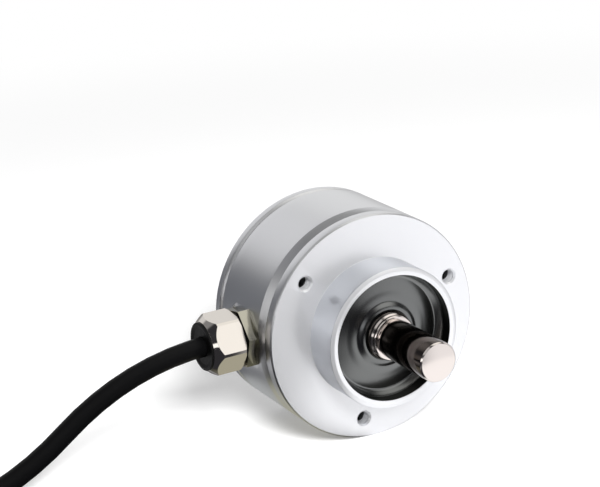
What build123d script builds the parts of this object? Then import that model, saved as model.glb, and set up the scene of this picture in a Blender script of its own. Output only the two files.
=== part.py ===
from build123d import *
import os
from math import pi, radians, tan

# Absolute rotary encoder: 58 mm clamping flange, solid shaft, radial cable gland.
# The origin is the centre of the flange's front face. The shaft points along -Y, +Z is up
# and the cable leaves along -X. Heights are distances ahead of the flange face, towards the
# shaft's tip, so what lies behind that face has a negative height. All sizes are millimetres.

os.makedirs("parts", exist_ok=True)

# Flange, collar and housing
flange_diameter = 58.0
rim_thickness = 3.0
rear_rim_thickness = 3.0
body_depth = 30.0
collar_diameter = 36.0
collar_length = 10.0
collar_wall = 2.0
housing_wall = 2.5
spigot_length = 5.0
spigot_clearance = 0.05

# Threaded holes in the flange
flange_hole_circle = 48.0
flange_hole_count = 3
flange_hole_angle = 20.0
flange_hole_diameter = 3.3
flange_hole_depth = 6.5

# Shaft and its seal
shaft_diameter = 10.0
shaft_reach = 19.5
journal_diameter = 12.0
seal_width = 6.9
seal_setback = 2.5
seal_lip_clearance = 0.08
seal_dish_depth = 2.1
seal_dish_slope = 1.3
seal_boss_foot = 3.2
seal_boss_width = 1.0
seal_boss_rise = 2.35

# Double-row ball bearing, pressed into the hub against its front lip
bearing_diameter = 21.0
bearing_width = 10.0
inner_ring_wall = 1.5
outer_ring_wall = 1.1
cage_clearance = 0.4
cage_setback = 0.8
hub_wall = 2.5
lip_thickness = 1.4
lip_overlap = 1.7

# Code disc on the shaft's rear end
shoulder_diameter = 14.8
shoulder_length = 6.0
stub_diameter = 8.0
stub_overhang = 0.2
disc_diameter = 35.2
disc_thickness = 1.0

# Light source, mask and photo sensor, in line across the disc
track_radius = 15.6
track_angle = 60.0
light_gap = 0.8
holder_depth = 5.0
holder_width = 8.0
lens_size = 4.0
lens_thickness = 1.6
lamp_size = 2.0
lamp_height = 1.2
mask_gap = 0.3
mask_length = 5.0
mask_width = 6.0
mask_thickness = 0.7
sensor_length = 6.0
sensor_width = 7.0
sensor_height = 1.6

# Circuit board
board_clearance = 0.6
board_thickness = 1.5
board_flat = 19.2
terminal_length = 3.6
terminal_width = 9.0
terminal_height = 1.8
leads_width = 4.0
leads_thickness = 0.8
leads_gap = 1.3

# Tie screws that clamp cover, housing and flange
tie_circle = 42.0
tie_count = 3
tie_angle = 0.0
tie_diameter = 2.5
tie_hole_clearance = 0.2
thread_clearance = 0.02
tie_head_diameter = 4.5
tie_head_height = 2.2
tie_head_sink = 0.3
tie_thread_length = 4.5
tie_thread_spare = 0.5
tie_socket = 2.0
tie_socket_depth = 1.2
spacer_across_flats = 4.5

# Cable gland, distances counted outwards from the shaft's axis
gland_height = -14.5
spot_depth = 1.0
spot_diameter = 17.2
gland_thread_diameter = 12.0
gland_thread_length = 3.6
gland_hex = 14.0
gland_body_angle = 12.0
gland_nut_angle = -5.2
gland_body_length = 3.2
gland_ridge = 0.45
nut_thread_diameter = 11.2
nut_thread_length = 4.8
nut_straight_length = 6.7
nut_cone_length = 2.2
nut_cone_reach = 1.0
nut_mouth_diameter = 12.4
nut_lip = 1.0
bush_lip_thickness = 0.5
bush_lip_inset = 0.1
gland_clearance = 0.05
passage_clearance = 0.3

# Cable
cable_diameter = 5.0
cable_inner_end = 22.0
cable_start = 38.0
cable_bend_share = 0.45
coil_diameter = 50.0
coil_rows = 3
coil_x = -143.5
coil_layer_rise = 4.33
coil_inset = 4.0
coil_tie_width = 4.0
coil_tie_thickness = 0.8
tail_inset = 4.0
tail_length = 18.0
lead_count = 4
lead_diameter = 1.3
lead_spread = 1.1
lead_length = 12.0

# Radii and heights that follow
flange_radius = flange_diameter / 2
collar_radius = collar_diameter / 2
seal_radius = collar_radius - collar_wall
housing_bore = flange_radius - housing_wall
spigot_radius = housing_bore - spigot_clearance
sleeve_front = -rim_thickness
spigot_rear = sleeve_front - spigot_length
sleeve_rear = rear_rim_thickness - body_depth

shaft_radius = shaft_diameter / 2
journal_radius = journal_diameter / 2
shaft_tip = collar_length + shaft_reach
seal_front = collar_length - seal_setback
seal_floor = seal_front - seal_width
seal_dish = seal_front - seal_dish_depth
seal_bore = journal_radius + seal_lip_clearance
seal_boss_radius = seal_bore + seal_boss_width
seal_boss_base = seal_bore + seal_boss_foot

bearing_radius = bearing_diameter / 2
inner_ring_radius = journal_radius + inner_ring_wall
outer_ring_bore = bearing_radius - outer_ring_wall
bearing_front = seal_floor - lip_thickness
bearing_rear = bearing_front - bearing_width
lip_radius = bearing_radius - lip_overlap
hub_radius = bearing_radius + hub_wall

disc_seat = bearing_rear - shoulder_length
disc_rear = disc_seat - disc_thickness
stub_radius = stub_diameter / 2
stub_rear = disc_rear - stub_overhang
holder_rear = disc_seat + light_gap
mask_front = disc_rear - mask_gap
mask_rear = mask_front - mask_thickness
board_front = mask_rear - sensor_height
board_rear = board_front - board_thickness

tie_radius = tie_diameter / 2
tie_hole_radius = tie_radius + tie_hole_clearance
tie_head_front = tie_head_height + tie_head_sink - body_depth
tie_tip = spigot_rear + tie_thread_length

gland_y = -gland_height
spot_face = flange_radius - spot_depth
gland_thread_radius = gland_thread_diameter / 2
gland_inner_end = spot_face - gland_thread_length
nut_inner_end = spot_face + gland_body_length
nut_thread_radius = nut_thread_diameter / 2
gland_outer_end = nut_inner_end + nut_thread_length
nut_ridge_end = nut_inner_end + nut_straight_length
nut_outer_end = nut_ridge_end + nut_cone_length
nut_cone_radius = gland_hex / 2 + nut_cone_reach
nut_mouth_radius = nut_mouth_diameter / 2
nut_bore = nut_mouth_radius - nut_lip
bush_outer_end = nut_outer_end + bush_lip_thickness
cable_radius = cable_diameter / 2
floor = -flange_radius
cable_bed = floor + cable_radius

# Half outlines of turned pieces are drawn as (radius, height) and turned about the shaft's
# axis, or as (radius, distance from the shaft) and turned about the gland's.
TURNED = Plane(origin=(0, 0, 0), x_dir=(1, 0, 0), z_dir=(0, 0, -1))
GLAND_TURNED = Plane(origin=(0, gland_y, 0), x_dir=(0, 0, 1), z_dir=(0, -1, 0))
GLAND_AXIS = Axis((0, gland_y, 0), (-1, 0, 0))
# Outlines across the gland have the shaft's direction to the right and +Z up.
GLAND_ACROSS = Plane(origin=(0, gland_y, 0), x_dir=(0, -1, 0), z_dir=(-1, 0, 0))


def across(height):
    """The plane square to the shaft at a height, seen from the front, with +X right and +Z up."""
    return Plane.XZ.offset(height)


def save(piece, name):
    piece.part.label = name
    export_step(piece.part, f"parts/{name}.step")


def ring(name, inner_radius, outer_radius, front, rear):
    """A plain ring about the shaft's axis."""
    with BuildPart() as piece:
        with BuildSketch(across(rear)):
            Circle(outer_radius)
            Circle(inner_radius, mode=Mode.SUBTRACT)
        extrude(amount=front - rear)
    save(piece, name)


# Front flange: mounting rim, centring collar with the seal pocket, and bearing hub
with BuildPart() as front_flange:
    with BuildSketch(TURNED):
        Polygon(
            (collar_radius, 0),
            (collar_radius, collar_length),
            (seal_radius, collar_length),
            (seal_radius, seal_floor),
            (lip_radius, seal_floor),
            (lip_radius, bearing_front),
            (bearing_radius, bearing_front),
            (bearing_radius, bearing_rear),
            (hub_radius, bearing_rear),
            (hub_radius, spigot_rear),
            (spigot_radius, spigot_rear),
            (spigot_radius, sleeve_front),
            (flange_radius, sleeve_front),
            (flange_radius, 0),
            align=None,
        )
    revolve(axis=Axis.Y)
    with Locations(across(0)):
        with PolarLocations(flange_hole_circle / 2, flange_hole_count, flange_hole_angle):
            Hole(radius=flange_hole_diameter / 2, depth=flange_hole_depth)
    with BuildSketch(across(spigot_rear)):
        with PolarLocations(tie_circle / 2, tie_count, tie_angle):
            Circle(tie_radius + thread_clearance)
    extrude(amount=tie_thread_length + tie_thread_spare, mode=Mode.SUBTRACT)
save(front_flange, "front_flange")

# Housing: a turned sleeve with a spot face for the gland
with BuildPart() as housing_body:
    with BuildSketch(across(sleeve_rear)):
        Circle(flange_radius)
        Circle(housing_bore, mode=Mode.SUBTRACT)
    extrude(amount=sleeve_front - sleeve_rear)
    with BuildSketch(GLAND_ACROSS.offset(spot_face)):
        Circle(spot_diameter / 2)
    extrude(amount=2 * spot_depth, mode=Mode.SUBTRACT)
    with BuildSketch(GLAND_ACROSS.offset(spot_face)):
        Circle(gland_thread_radius + gland_clearance)
    extrude(amount=-housing_wall, mode=Mode.SUBTRACT)
save(housing_body, "housing_body")

# Rear cover: bosses that press on the board, and sunk holes for the tie screws
with BuildPart() as rear_cover:
    with BuildSketch(across(-body_depth)):
        Circle(flange_radius)
    extrude(amount=rear_rim_thickness)
    with BuildSketch(across(sleeve_rear)):
        with PolarLocations(tie_circle / 2, tie_count, tie_angle):
            RegularPolygon(spacer_across_flats / 2, 6, major_radius=False)
    extrude(amount=board_rear - sleeve_rear)
    with BuildSketch(across(board_rear)):
        with PolarLocations(tie_circle / 2, tie_count, tie_angle):
            Circle(tie_hole_radius)
    extrude(amount=-body_depth, mode=Mode.SUBTRACT)
    with BuildSketch(across(tie_head_front)):
        with PolarLocations(tie_circle / 2, tie_count, tie_angle):
            Circle(tie_head_diameter / 2 + tie_hole_clearance)
    extrude(amount=-body_depth, mode=Mode.SUBTRACT)
save(rear_cover, "rear_cover")

# Socket head screws from the rear cover into the flange
with BuildPart() as tie_screws:
    with BuildSketch(across(tie_head_front)):
        with PolarLocations(tie_circle / 2, tie_count, tie_angle):
            Circle(tie_head_diameter / 2)
    extrude(amount=-tie_head_height)
    with BuildSketch(across(tie_head_front)):
        with PolarLocations(tie_circle / 2, tie_count, tie_angle):
            Circle(tie_radius)
    extrude(amount=tie_tip - tie_head_front)
    with BuildSketch(across(tie_head_front - tie_head_height)):
        with PolarLocations(tie_circle / 2, tie_count, tie_angle):
            RegularPolygon(tie_socket / 2, 6, major_radius=False)
    extrude(amount=tie_socket_depth, mode=Mode.SUBTRACT)
save(tie_screws, "tie_screws")

# Hexagonal spacers round the tie screws, from the flange to the board
with BuildPart() as board_spacers:
    with BuildSketch(across(board_front)):
        with PolarLocations(tie_circle / 2, tie_count, tie_angle):
            RegularPolygon(spacer_across_flats / 2, 6, major_radius=False)
            Circle(tie_hole_radius, mode=Mode.SUBTRACT)
    extrude(amount=spigot_rear - board_front)
save(board_spacers, "board_spacers")

# Shaft: coupling end, bearing journal, shoulder and the stub that carries the code disc
with BuildPart() as shaft:
    with BuildSketch(TURNED):
        Polygon(
            (0, shaft_tip),
            (shaft_radius, shaft_tip),
            (shaft_radius, collar_length),
            (journal_radius, collar_length),
            (journal_radius, bearing_rear),
            (shoulder_diameter / 2, bearing_rear),
            (shoulder_diameter / 2, disc_seat),
            (stub_radius, disc_seat),
            (stub_radius, stub_rear),
            (0, stub_rear),
            align=None,
        )
    revolve(axis=Axis.Y)
save(shaft, "shaft")

# Shaft seal: dished front face with a raised lip round the shaft
with BuildPart() as shaft_seal:
    with BuildSketch(TURNED):
        Polygon(
            (seal_radius, seal_front),
            (seal_radius - seal_dish_slope, seal_dish),
            (seal_boss_base, seal_dish),
            (seal_boss_radius, seal_dish + seal_boss_rise),
            (seal_bore, seal_dish + seal_boss_rise),
            (seal_bore, seal_floor),
            (seal_radius, seal_floor),
            align=None,
        )
    revolve(axis=Axis.Y)
save(shaft_seal, "shaft_seal")

# Bearing: outer ring, inner ring and the ball cage of both rows
cage_inner = inner_ring_radius + cage_clearance
cage_outer = outer_ring_bore - cage_clearance
ring("bearing_outer_ring", outer_ring_bore, bearing_radius, bearing_front, bearing_rear)
ring("bearing_inner_ring", journal_radius, inner_ring_radius, bearing_front, bearing_rear)
ring("ball_cage", cage_inner, cage_outer, bearing_front - cage_setback, bearing_rear + cage_setback)

# Code disc, bonded to the shaft's shoulder
ring("code_disc", stub_radius, disc_diameter / 2, disc_seat, disc_rear)

# Light source: holder on the flange, lamp in its pocket and lens towards the disc
with BuildPart() as light_holder:
    with BuildSketch(across(holder_rear)):
        with PolarLocations(track_radius, 1, track_angle):
            Rectangle(holder_depth, holder_width)
    extrude(amount=spigot_rear - holder_rear)
    with BuildSketch(across(holder_rear)):
        with PolarLocations(track_radius, 1, track_angle):
            Rectangle(lens_size, lens_size)
    extrude(amount=lens_thickness, mode=Mode.SUBTRACT)
    with BuildSketch(across(holder_rear + lens_thickness)):
        with PolarLocations(track_radius, 1, track_angle):
            Rectangle(lamp_size, lamp_size)
    extrude(amount=lamp_height, mode=Mode.SUBTRACT)
save(light_holder, "light_holder")

with BuildPart() as light_lamp:
    with BuildSketch(across(holder_rear + lens_thickness)):
        with PolarLocations(track_radius, 1, track_angle):
            Rectangle(lamp_size, lamp_size)
    extrude(amount=lamp_height)
save(light_lamp, "light_lamp")

with BuildPart() as light_lens:
    with BuildSketch(across(holder_rear)):
        with PolarLocations(track_radius, 1, track_angle):
            Rectangle(lens_size, lens_size)
    extrude(amount=lens_thickness)
save(light_lens, "light_lens")

# Scanning mask and photo sensor behind the disc
with BuildPart() as scanning_mask:
    with BuildSketch(across(mask_rear)):
        with PolarLocations(track_radius, 1, track_angle):
            Rectangle(mask_length, mask_width)
    extrude(amount=mask_thickness)
save(scanning_mask, "scanning_mask")

with BuildPart() as photo_sensor:
    with BuildSketch(across(board_front)):
        with PolarLocations(track_radius, 1, track_angle):
            Rectangle(sensor_length, sensor_width)
    extrude(amount=sensor_height)
save(photo_sensor, "photo_sensor")

# Hexagonal circuit board with a flat that leaves the leads a way past it
with BuildPart() as circuit_board:
    with BuildSketch(across(board_rear)):
        RegularPolygon(housing_bore - board_clearance, 6)
        with Locations((-board_flat - housing_bore / 2, 0)):
            Rectangle(housing_bore, 2 * housing_bore, mode=Mode.SUBTRACT)
        with PolarLocations(tie_circle / 2, tie_count, tie_angle):
            Circle(tie_hole_radius, mode=Mode.SUBTRACT)
    extrude(amount=board_thickness)
save(circuit_board, "circuit_board")

# Chips on the board's rear side: centre across and up, width, height and thickness of each
chips = (
    ("processor", (4.0, -3.0), (9.0, 9.0, 1.4)),
    ("memory", (4.0, 8.5), (5.0, 6.2, 1.6)),
    ("line_driver", (-6.5, 9.5), (5.0, 6.2, 1.6)),
    ("regulator", (-6.0, -10.5), (6.5, 3.5, 1.8)),
    ("capacitors", (5.5, -13.5), (6.0, 3.2, 1.9)),
)
for chip_name, chip_centre, (chip_width, chip_length, chip_thickness) in chips:
    with BuildPart() as chip:
        with BuildSketch(across(board_rear)):
            with Locations(chip_centre):
                Rectangle(chip_width, chip_length)
        extrude(amount=-chip_thickness)
    save(chip, chip_name)

# Terminal block for the cable's leads, at the board's flat
terminal_edge = leads_gap - board_flat
with BuildPart() as wire_terminal:
    with BuildSketch(across(board_rear)):
        with Locations((terminal_edge + terminal_length / 2, 0)):
            Rectangle(terminal_length, terminal_width)
    extrude(amount=-terminal_height)
save(wire_terminal, "wire_terminal")

# The leads as a flat bundle from the cable's end, past the board's flat, to the terminal
leads_half = leads_thickness / 2
leads_x = -board_flat - leads_gap
leads_y = terminal_height / 2 - board_rear
with BuildPart() as inner_leads:
    with BuildSketch(Plane.XY):
        Polygon(
            (-cable_inner_end, gland_y - leads_half),
            (leads_x + leads_half, gland_y - leads_half),
            (leads_x + leads_half, leads_y - leads_half),
            (terminal_edge, leads_y - leads_half),
            (terminal_edge, leads_y + leads_half),
            (leads_x - leads_half, leads_y + leads_half),
            (leads_x - leads_half, gland_y + leads_half),
            (-cable_inner_end, gland_y + leads_half),
            align=None,
        )
    extrude(amount=leads_width / 2, both=True)
save(inner_leads, "inner_leads")

# Gland body: hexagon on the spot face, thread into the housing, outer thread for the nut
with BuildPart() as gland_body:
    with BuildSketch(GLAND_ACROSS.offset(spot_face)):
        RegularPolygon(gland_hex / 2, 6, major_radius=False, rotation=gland_body_angle)
    extrude(amount=gland_body_length)
    with BuildSketch(GLAND_TURNED):
        Polygon(
            (0, gland_inner_end),
            (gland_thread_radius, gland_inner_end),
            (gland_thread_radius, spot_face),
            (nut_thread_radius, spot_face),
            (nut_thread_radius, gland_outer_end),
            (0, gland_outer_end),
            align=None,
        )
    revolve(axis=GLAND_AXIS)
    with BuildSketch(GLAND_TURNED):
        Polygon(
            (0, gland_inner_end),
            (cable_radius + passage_clearance, gland_inner_end),
            (cable_radius + passage_clearance, gland_outer_end),
            (0, gland_outer_end),
            align=None,
        )
    revolve(axis=GLAND_AXIS, mode=Mode.SUBTRACT)
save(gland_body, "gland_body")

# Rubber bush that grips the cable, pressed on the gland body's end by the nut, with a lip over
# the nut's mouth
with BuildPart() as gland_bush:
    with BuildSketch(GLAND_ACROSS.offset(gland_outer_end)):
        Circle(nut_bore)
    extrude(amount=nut_outer_end - gland_outer_end)
    with BuildSketch(GLAND_ACROSS.offset(nut_outer_end)):
        Circle(nut_mouth_radius - bush_lip_inset)
    extrude(amount=bush_lip_thickness)
    with BuildSketch(GLAND_ACROSS.offset(gland_outer_end)):
        Circle(cable_radius)
    extrude(amount=bush_outer_end - gland_outer_end, mode=Mode.SUBTRACT)
save(gland_bush, "gland_bush")

# Cap nut: hexagon with bevelled ridges, turned down to a cone at its mouth
with BuildPart() as gland_nut:
    with BuildSketch(GLAND_ACROSS.offset(nut_inner_end)) as nut_outline:
        RegularPolygon(gland_hex / 2, 6, major_radius=False, rotation=gland_nut_angle)
        chamfer(nut_outline.vertices(), gland_ridge)
    extrude(amount=nut_outer_end - nut_inner_end)
    with BuildSketch(GLAND_TURNED):
        Polygon(
            (nut_thread_radius + gland_clearance, nut_inner_end),
            (gland_hex, nut_inner_end),
            (gland_hex, nut_ridge_end),
            (nut_cone_radius, nut_ridge_end),
            (nut_mouth_radius, nut_outer_end),
            (nut_bore, nut_outer_end),
            (nut_bore, gland_outer_end + gland_clearance),
            (nut_thread_radius + gland_clearance, gland_outer_end + gland_clearance),
            align=None,
        )
    revolve(axis=GLAND_AXIS, mode=Mode.INTERSECT)
save(gland_nut, "gland_nut")

# Cable: its end inside the gland, then the free run down to the floor and into the coil
with BuildPart() as cable_entry:
    with BuildSketch(GLAND_ACROSS.offset(cable_inner_end)):
        Circle(cable_radius)
    extrude(amount=cable_start - cable_inner_end)
save(cable_entry, "cable_entry")

coil_y = gland_y - coil_diameter / 2 - cable_diameter
cable_route = (
    (-cable_start, gland_y, 0),
    (-60.5, gland_y, 0),
    (-95.7, gland_y, cable_bed),
    (coil_x + coil_inset, gland_y, cable_bed),
)


def bend_radii(route):
    """A bend for each corner that takes the same share of the shorter of its two runs."""
    radii = []
    for before, corner, after in zip(route, route[1:], route[2:]):
        arriving = Vector(*corner) - Vector(*before)
        leaving = Vector(*after) - Vector(*corner)
        turn = radians(arriving.get_angle(leaving))
        radii.append(cable_bend_share * min(arriving.length, leaving.length) / tan(turn / 2))
    return radii


def tube(name, route):
    """A round tube along straight runs joined by tangent arcs."""
    radii = bend_radii(route)
    with BuildPart() as piece:
        with BuildLine() as path:
            FilletPolyline(*route, radius=radii)
        with BuildSketch(Plane(origin=path.line @ 0, z_dir=path.line % 0)):
            Circle(cable_radius)
        sweep()
    save(piece, name)
    length = path.wires()[0].length
    print(name, "bend radii", [round(radius, 1) for radius in radii], "length", round(length, 1))
    print(name, "volume share", round(piece.part.volume / (pi * cable_radius**2 * length), 4))


tube("cable", cable_route)

# The coil of put-away cable: rows side by side below, one row fewer above them
coil_plane = Plane(origin=(coil_x, coil_y, floor))
coil_outer = coil_diameter / 2 + coil_rows * cable_radius
coil_inner = coil_diameter / 2 - coil_rows * cable_radius
coil_height = cable_diameter + coil_layer_rise
with BuildPart() as cable_coil:
    with BuildSketch(coil_plane):
        Circle(coil_outer)
        Circle(coil_inner, mode=Mode.SUBTRACT)
    extrude(amount=coil_height)
save(cable_coil, "cable_coil")

# Tie round the coil's section, open at the floor
tie_plane = Plane(origin=coil_plane.origin, x_dir=(0, -1, 0), z_dir=(-1, 0, 0))
with BuildPart() as coil_tie:
    with BuildSketch(tie_plane):
        with Locations((coil_inner - coil_tie_thickness, 0)):
            Rectangle(
                coil_outer - coil_inner + 2 * coil_tie_thickness,
                coil_height + coil_tie_thickness,
                align=Align.MIN,
            )
        with Locations((coil_inner, 0)):
            Rectangle(coil_outer - coil_inner, coil_height, align=Align.MIN, mode=Mode.SUBTRACT)
    extrude(amount=coil_tie_width / 2, both=True)
save(coil_tie, "coil_tie")

# The cable's free end, straight out of the upper row, and its bare leads
tail_start = (coil_x - tail_inset, coil_y + coil_outer, cable_bed + coil_layer_rise)
tail_plane = Plane(origin=tail_start, x_dir=(0, -1, 0), z_dir=(-1, 0, 0))
with BuildPart() as cable_tail:
    with BuildSketch(tail_plane):
        Circle(cable_radius)
    extrude(amount=tail_length)
save(cable_tail, "cable_tail")

with BuildPart() as lead_wires:
    with BuildSketch(tail_plane.offset(tail_length)):
        with PolarLocations(lead_spread, lead_count):
            Circle(lead_diameter / 2)
    extrude(amount=lead_length)
save(lead_wires, "lead_wires")
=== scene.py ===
import bmesh
import bpy
from math import atan2, cos, hypot, pi, radians, sin, sqrt, tan
from mathutils import Matrix, Vector


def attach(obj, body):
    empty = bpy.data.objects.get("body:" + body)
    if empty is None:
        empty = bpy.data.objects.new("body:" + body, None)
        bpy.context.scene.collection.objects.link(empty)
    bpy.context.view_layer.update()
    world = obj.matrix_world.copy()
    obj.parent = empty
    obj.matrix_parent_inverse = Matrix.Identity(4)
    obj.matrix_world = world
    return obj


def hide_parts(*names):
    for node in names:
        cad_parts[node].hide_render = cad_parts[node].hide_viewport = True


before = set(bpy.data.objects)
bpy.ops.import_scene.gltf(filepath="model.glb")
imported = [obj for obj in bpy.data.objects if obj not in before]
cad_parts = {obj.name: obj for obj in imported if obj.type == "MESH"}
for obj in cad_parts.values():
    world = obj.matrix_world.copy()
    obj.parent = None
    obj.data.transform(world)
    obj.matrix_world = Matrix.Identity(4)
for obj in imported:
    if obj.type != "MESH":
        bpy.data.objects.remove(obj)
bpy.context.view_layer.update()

# Sizes in millimetres, those of the solids. The origin is the centre of the flange's front face
# and the shaft points along -Y. Heights count ahead of that face, so behind it they are negative.
# SKIN is how far a dressed face stays inside its solid, and OVER how far a cutter runs past one.
MM = 0.001
SKIN = 0.02
OVER = 1.0
FLANGE_R = 29.0
SKIN_R = FLANGE_R - SKIN
FLOOR = -FLANGE_R
RIM = 3.0
BODY_DEPTH = 30.0
COVER_FRONT = RIM - BODY_DEPTH
HOUSING_BORE = 26.5
SPIGOT_R = 26.45
SPIGOT_REAR = -8.0
COLLAR_R = 18.0
COLLAR_LENGTH = 10.0
POCKET_R = 16.0
POCKET_FLOOR = 0.6
BEARING_R = 10.5
BEARING_FRONT = -0.8
BEARING_REAR = -10.8
SHAFT_R = 5.0
SHAFT_TIP = 29.5
TIE_CIRCLE = 42.0
TIE_ANGLES = (0, 120, 240)
TIE_HEAD_FRONT = -27.5

# On the gland's axis, which runs along -X, heights count outwards from the shaft's axis
GLAND_Y = 14.5
GLAND_HEX = 14.0
SPOT_FACE = 28.0
GLAND_THREAD_R = 6.0
GLAND_CLEARANCE = 0.05
NUT_INNER = 31.2
NUT_THREAD_R = 5.6
NUT_THREAD_END = 36.0
NUT_OUTER = 40.1
NUT_BORE_R = 5.2
PASSAGE_R = 2.8
CABLE_R = 2.5

# Facets round the axis
STEPS = 192
NUT_STEPS = 128
GLAND_STEPS = 96
SCREW_STEPS = 64
HOLE_STEPS = 48


# Nodes
def feed(tree, socket, value):
    """Links another node's output to a socket, or sets the socket to a fixed value."""
    if isinstance(value, bpy.types.NodeSocket):
        tree.links.new(value, socket)
    else:
        socket.default_value = value


def calc_node(tree, kind, operation, values):
    node = tree.nodes.new(kind)
    node.operation = operation
    for socket, value in zip(node.inputs, values):
        feed(tree, socket, value)
    return node


def calc(tree, operation, *values):
    """The number that a Math node makes of outputs and numbers."""
    return calc_node(tree, "ShaderNodeMath", operation, values).outputs["Value"]


def calc_vector(tree, operation, *values):
    """The same with vectors, where a length, a distance or a dot product is a number."""
    number = operation in ("LENGTH", "DISTANCE", "DOT_PRODUCT")
    node = calc_node(tree, "ShaderNodeVectorMath", operation, values)
    return node.outputs["Value" if number else "Vector"]


# Materials
def shader(name):
    mat = bpy.data.materials.new(name)
    mat.use_nodes = True
    return mat, mat.node_tree, mat.node_tree.nodes["Principled BSDF"]


def grain(tree, bsdf, scale, detail, rough, spread, bump):
    """Noise that varies the roughness a little and gives the surface a fine relief."""
    noise = tree.nodes.new("ShaderNodeTexNoise")
    noise.inputs["Scale"].default_value = scale
    noise.inputs["Detail"].default_value = detail
    coords = tree.nodes.new("ShaderNodeTexCoord")
    tree.links.new(coords.outputs["Object"], noise.inputs["Vector"])
    ramp = tree.nodes.new("ShaderNodeMapRange")
    ramp.inputs["To Min"].default_value = rough - spread
    ramp.inputs["To Max"].default_value = rough + spread
    tree.links.new(noise.outputs["Fac"], ramp.inputs["Value"])
    tree.links.new(ramp.outputs["Result"], bsdf.inputs["Roughness"])
    if bump:
        relief = tree.nodes.new("ShaderNodeBump")
        relief.inputs["Strength"].default_value = bump
        relief.inputs["Distance"].default_value = 0.1 * MM
        tree.links.new(noise.outputs["Fac"], relief.inputs["Height"])
        tree.links.new(relief.outputs["Normal"], bsdf.inputs["Normal"])


def metal(name, color, rough, spread=0.04, scale=900, bump=0.1, metallic=1.0, turned_marks=0.0):
    """A metal, with highlights drawn out across its turning marks where it has them."""
    mat, tree, bsdf = shader(name)
    bsdf.inputs["Base Color"].default_value = (*color, 1)
    bsdf.inputs["Metallic"].default_value = metallic
    bsdf.inputs["Anisotropic"].default_value = turned_marks
    if turned_marks:
        radial = tree.nodes.new("ShaderNodeTangent")
        radial.direction_type = "RADIAL"
        radial.axis = "Y"
        tree.links.new(radial.outputs["Tangent"], bsdf.inputs["Tangent"])
    grain(tree, bsdf, scale, 4, rough, spread, bump)
    return mat


def plastic(name, color, rough, spread=0.05, scale=600, bump=0.15, coat=0.0, specular=0.5):
    mat, tree, bsdf = shader(name)
    bsdf.inputs["Base Color"].default_value = (*color, 1)
    bsdf.inputs["Specular IOR Level"].default_value = specular
    bsdf.inputs["Coat Weight"].default_value = coat
    bsdf.inputs["Coat Roughness"].default_value = 0.05
    grain(tree, bsdf, scale, 3, rough, spread, bump)
    return mat


GLASS_TINT = (0.8, 0.85, 0.87, 1)
CODE_MARK = (0.02, 0.02, 0.02, 1)
CODE_INNER_R = 8.5
CODE_OUTER_R = 16.2
CODE_RING_WIDTH = 1.1


def clear(name):
    mat, tree, bsdf = shader(name)
    bsdf.inputs["Base Color"].default_value = GLASS_TINT
    bsdf.inputs["Transmission Weight"].default_value = 0.8
    bsdf.inputs["IOR"].default_value = 1.5
    grain(tree, bsdf, scale=300, detail=2, rough=0.05, spread=0.01, bump=0)
    return mat


def coded_glass():
    """Glass with rings of dark marks, each ring with twice as many as the one inside it."""
    mat = clear("coded glass")
    tree = mat.node_tree
    coords = tree.nodes.new("ShaderNodeTexCoord")
    split = tree.nodes.new("ShaderNodeSeparateXYZ")
    tree.links.new(coords.outputs["Object"], split.inputs["Vector"])
    x, z = split.outputs["X"], split.outputs["Z"]
    squares = calc(tree, "ADD", calc(tree, "MULTIPLY", x, x), calc(tree, "MULTIPLY", z, z))
    radius = calc(tree, "SQRT", squares)
    beyond = calc(tree, "SUBTRACT", radius, CODE_INNER_R * MM)
    ring = calc(tree, "FLOOR", calc(tree, "DIVIDE", beyond, CODE_RING_WIDTH * MM))
    marks = calc(tree, "POWER", 2, calc(tree, "ADD", ring, 2))
    wave = calc(tree, "SINE", calc(tree, "MULTIPLY", marks, calc(tree, "ARCTAN2", z, x)))
    outside = calc(tree, "GREATER_THAN", radius, CODE_INNER_R * MM)
    inside = calc(tree, "LESS_THAN", radius, CODE_OUTER_R * MM)
    coded = calc(tree, "MULTIPLY", outside, inside)
    tint = tree.nodes.new("ShaderNodeMix")
    tint.data_type = "RGBA"
    tint.inputs["A"].default_value = GLASS_TINT
    tint.inputs["B"].default_value = CODE_MARK
    dark = calc(tree, "MULTIPLY", calc(tree, "GREATER_THAN", wave, 0), coded)
    tree.links.new(dark, tint.inputs["Factor"])
    bsdf = tree.nodes["Principled BSDF"]
    tree.links.new(tint.outputs["Result"], bsdf.inputs["Base Color"])
    return mat


aluminium = metal("turned aluminium", (0.86, 0.865, 0.88), rough=0.3, scale=1500, turned_marks=0.55)
satin = metal(
    "satin aluminium",
    (0.87, 0.875, 0.895),
    rough=0.34,
    spread=0.03,
    scale=1500,
    bump=0.08,
    metallic=0.8,
    turned_marks=0.4,
)
# A darker copy of the aluminium for the collar's outside: painted shade
collar_painted_shade = metal(
    "collar aluminium with painted shade",
    (0.74, 0.76, 0.80),
    rough=0.3,
    spread=0.03,
    scale=1500,
    bump=0.08,
    metallic=0.95,
    turned_marks=0.4,
)
# Painted shade for the deeper threads of the holes
painted_hole_shade = metal("painted hole shade", (0.12, 0.12, 0.12), rough=0.3)
# Near-black paint for the faces inside the collar: painted shade
painted_pocket_shade = metal("painted recess shade", (0.05, 0.05, 0.045), rough=0.3)
steel = metal("ground steel", (0.87, 0.80, 0.76), rough=0.12, spread=0.02, scale=1200, bump=0.01)
# A dark copy of the steel for the shaft's polished side: painted dark reflection
painted_dark_steel = metal("steel with painted dark reflection", (0.12, 0.10, 0.09), rough=0.07, spread=0.01, scale=1200, bump=0)
bearing_steel = metal("bearing steel", (0.66, 0.66, 0.68), rough=0.2)
nickel = metal("nickel plate", (0.84, 0.79, 0.73), rough=0.1, spread=0.03, scale=700, bump=0.03)
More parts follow.
